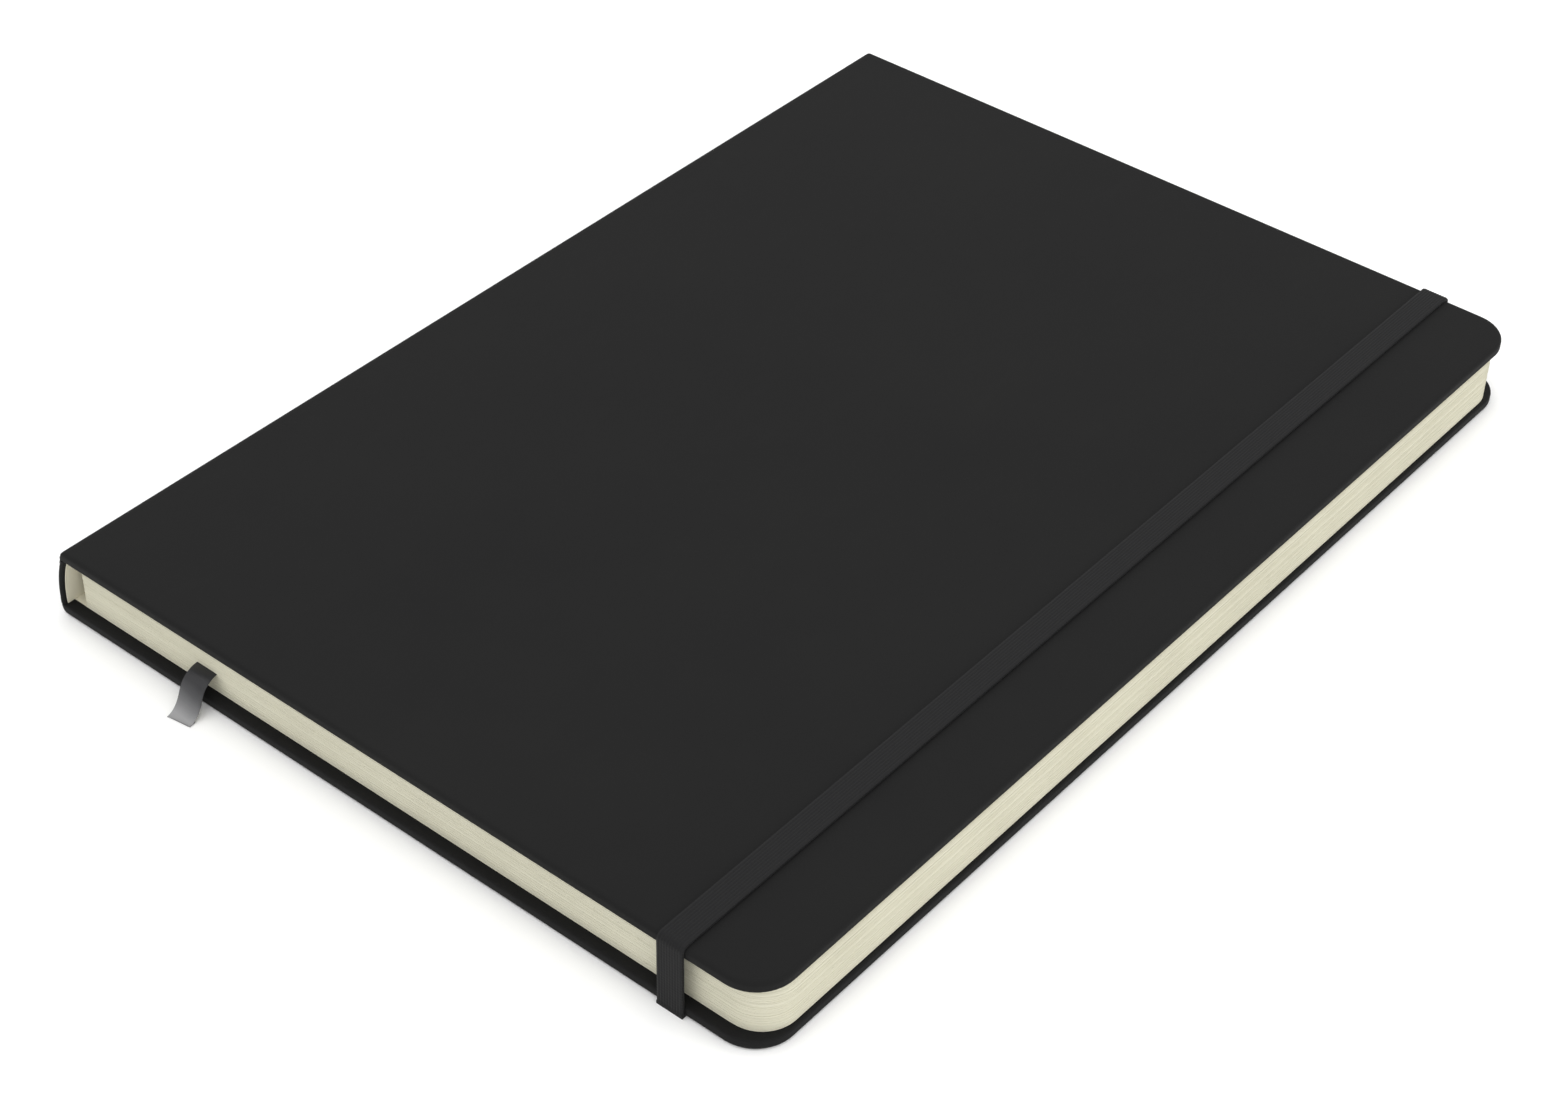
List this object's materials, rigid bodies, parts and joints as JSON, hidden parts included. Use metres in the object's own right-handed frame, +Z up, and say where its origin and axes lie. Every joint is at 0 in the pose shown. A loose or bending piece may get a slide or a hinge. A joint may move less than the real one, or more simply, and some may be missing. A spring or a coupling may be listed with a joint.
{
  "type": "sketchbook",
  "caption": "Closed black hard-cover sketchbook with sewn cream pages, opening covers and turning leaves, a woven ribbon marker and an elastic closure band.",
  "frame": {"origin": "middle of the book's own box, on the back cover's rest face (the ribbon marker is left out of that box)", "axes": "+X from the spine to the fore edge, +Y from the tail to the head, +Z up out of the front cover"},
  "size_m": [0.2124, 0.3063, 0.0205],
  "materials": {
    "cover_skin": "soft-touch matt",
    "spine_skin": "soft-touch matt",
    "board": "matt",
    "endpaper": "matt",
    "page": "matt",
    "elastic": "woven",
    "gauze": "open weave",
    "thread": "waxed",
    "ribbon": "satin"
  },
  "bodies": {
    "back_cover": {"back_board": "board", "back_cover_skin": "cover_skin", "back_pastedown": "endpaper", "elastic_end_head": "elastic", "elastic_end_tail": "elastic"},
    "text_block": {"signature_01": "page", "signature_02": "page", "signature_03": "page", "signature_04": "page", "signature_05": "page", "signature_06": "page", "signature_07": "page", "signature_08": "page", "signature_09": "page", "signature_10": "page", "spine_card": "board", "spine_skin": "spine_skin", "spine_liner": "endpaper", "spine_gauze": "gauze", "sewing_thread": "thread", "ribbon": "ribbon"},
    "front_cover": {"front_board": "board", "front_cover_skin": "cover_skin", "front_pastedown": "endpaper"},
    "front_flyleaf": {"front_flyleaf": "endpaper"},
    "first_leaf": {"first_leaf": "page"},
    "second_leaf": {"second_leaf": "page"},
    "back_flyleaf": {"back_flyleaf": "endpaper"},
    "elastic_band": {"elastic_band": "elastic"}
  },
  "joints": [
    {"name": "back_cover_hinge", "type": "hinge", "parent": "text_block", "child": "back_cover", "pos_m": [-0.1066, 0, 0.0028], "axis": [0, 1, 0], "range_deg": [0, 179.5]},
    {"name": "front_cover_hinge", "type": "hinge", "parent": "text_block", "child": "front_cover", "pos_m": [-0.10435, 0, 0.0168], "axis": [0, -1, 0], "range_deg": [0, 179.5]},
    {"name": "front_flyleaf_turn", "type": "hinge", "parent": "text_block", "child": "front_flyleaf", "pos_m": [-0.1008, 0, 0.0169], "axis": [0, -1, 0], "range_deg": [0, 177]},
    {"name": "first_leaf_turn", "type": "hinge", "parent": "text_block", "child": "first_leaf", "pos_m": [-0.1008, 0, 0.0169], "axis": [0, -1, 0], "range_deg": [0, 173]},
    {"name": "second_leaf_turn", "type": "hinge", "parent": "text_block", "child": "second_leaf", "pos_m": [-0.1008, 0, 0.0169], "axis": [0, -1, 0], "range_deg": [0, 22]},
    {"name": "back_flyleaf_turn", "type": "hinge", "parent": "text_block", "child": "back_flyleaf", "pos_m": [-0.1008, 0, 0.00275], "axis": [0, 1, 0], "range_deg": [0, 179.5]},
    {"name": "elastic_swing", "type": "hinge", "parent": "back_cover", "child": "elastic_band", "pos_m": [0.0826, 0, 0.0005], "axis": [0, 1, 0], "range_deg": [0, 179.5], "stiffness_Nm_per_rad": 0.005, "deforming": ["elastic_band"]}
  ],
  "couplings": [
    {"joint": "front_flyleaf_turn", "follows": "front_cover_hinge", "ratio": 0.98},
    {"joint": "first_leaf_turn", "follows": "front_cover_hinge", "ratio": 0.955},
    {"joint": "second_leaf_turn", "follows": "front_cover_hinge", "ratio": 0.12},
    {"joint": "back_flyleaf_turn", "follows": "back_cover_hinge", "ratio": 1}
  ]
}
